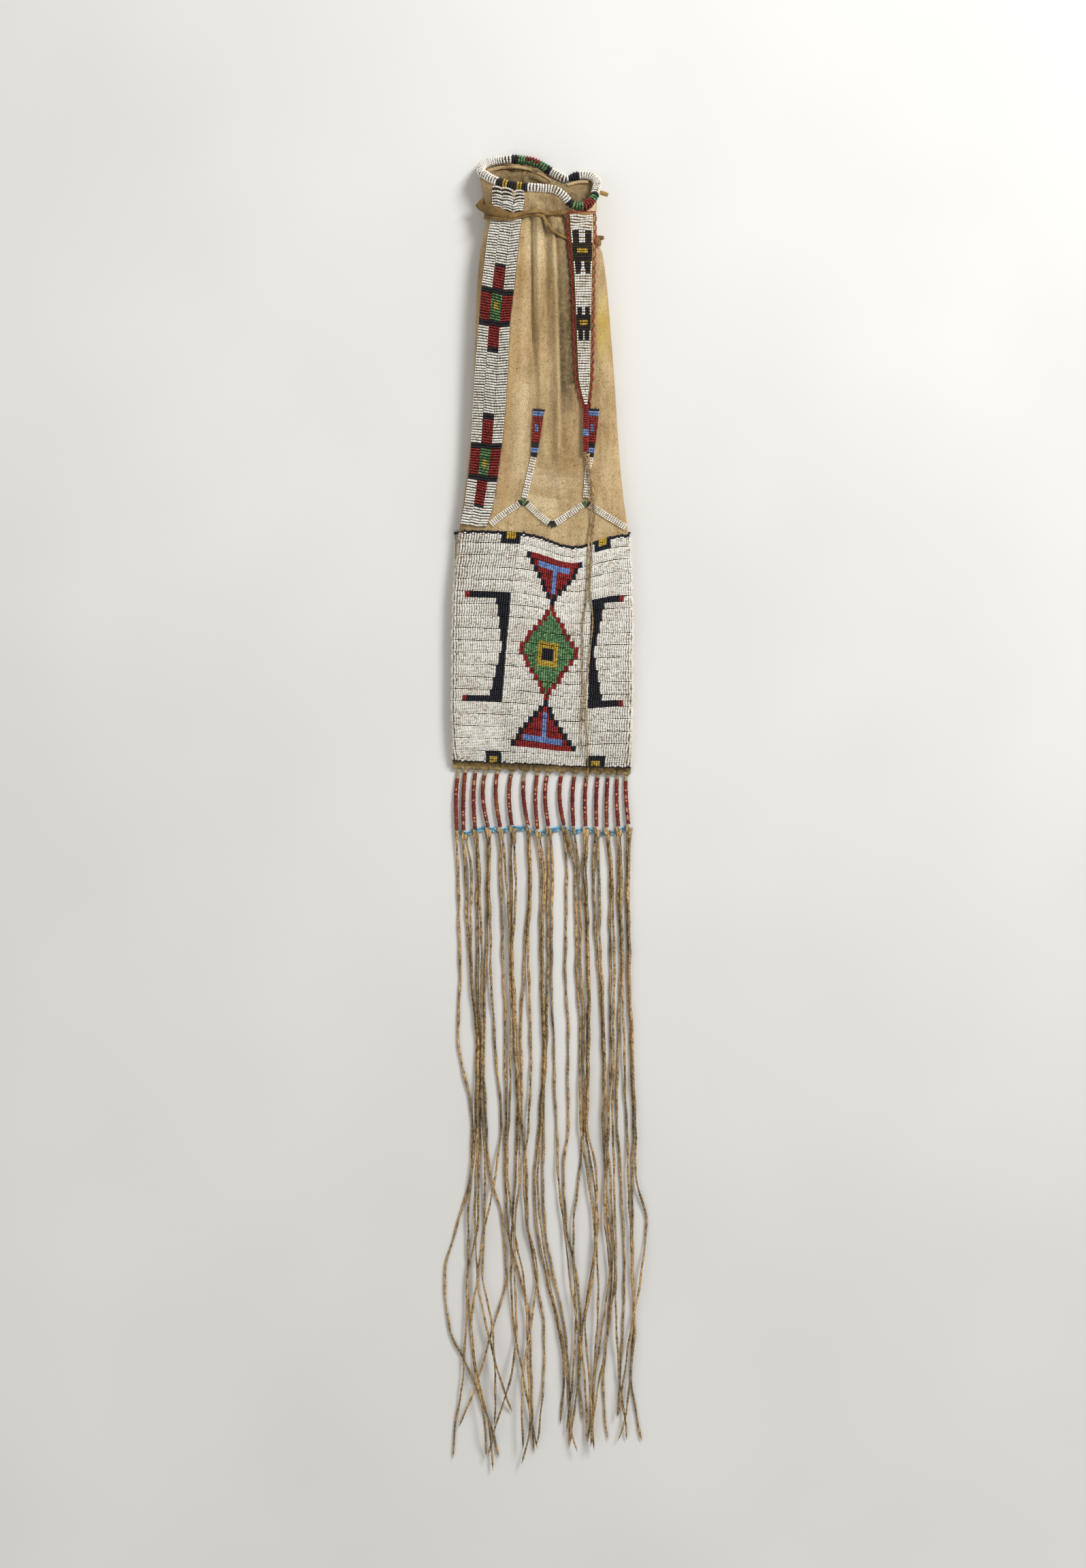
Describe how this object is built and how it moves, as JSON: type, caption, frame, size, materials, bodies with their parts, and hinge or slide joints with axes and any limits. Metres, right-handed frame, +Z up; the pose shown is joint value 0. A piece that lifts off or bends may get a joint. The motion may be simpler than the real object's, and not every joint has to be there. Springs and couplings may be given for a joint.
{
  "type": "pipe bag",
  "caption": "Long hide pouch with a gathered mouth, beaded panels and side strip, a beaded drop, quill-wrapped slats and twisted thong fringe.",
  "frame": {"origin": "on the underside of the back panel, at the middle of the panel, where the bag rests on a table", "axes": "+Z up out of the beaded front, +Y along the bag toward its mouth, +X to the right seen from the front with the mouth at the top"},
  "size_m": [0.1803, 1.164, 0.0364],
  "materials": {
    "buckskin": "soft brain-tanned suede",
    "white_beads": "opaque chalk-white seed beads",
    "red_beads": "opaque dark red seed beads",
    "turquoise_beads": "opaque turquoise tube beads",
    "quillwork": "flattened dyed porcupine quill, satin",
    "thong": "twisted suede thong"
  },
  "bodies": {
    "root": {"hide_front": "buckskin", "hide_back": "buckskin", "front_panel": "white_beads", "back_panel": "white_beads", "side_strip": "white_beads", "rim_beading": "white_beads", "left_bar": "red_beads", "right_bar": "red_beads", "zigzag_line": "white_beads", "tie_thong": "buckskin", "drop_tab": "white_beads", "drop_tip": "red_beads", "drop_thong_left": "thong", "drop_thong_right": "thong", "fringe_band": "buckskin", "quill_slat_01": "quillwork", "quill_slat_02": "quillwork", "quill_slat_03": "quillwork", "quill_slat_04": "quillwork", "quill_slat_05": "quillwork", "quill_slat_06": "quillwork", "quill_slat_07": "quillwork", "quill_slat_08": "quillwork", "quill_slat_09": "quillwork", "quill_slat_10": "quillwork", "quill_slat_11": "quillwork", "quill_slat_12": "quillwork", "quill_slat_13": "quillwork", "quill_slat_14": "quillwork", "quill_slat_15": "quillwork", "quill_slat_16": "quillwork", "fringe_thong_01": "thong", "fringe_thong_02": "thong", "fringe_thong_03": "thong", "fringe_thong_04": "thong", "fringe_thong_05": "thong", "fringe_thong_06": "thong", "fringe_thong_07": "thong", "fringe_thong_08": "thong", "fringe_thong_09": "thong", "fringe_thong_10": "thong", "fringe_thong_11": "thong", "fringe_thong_12": "thong", "fringe_thong_13": "thong", "fringe_thong_14": "thong", "fringe_thong_15": "thong", "fringe_thong_16": "thong", "blue_bead_string_upper": "turquoise_beads", "blue_bead_string_lower": "turquoise_beads"}
  },
  "joints": []
}
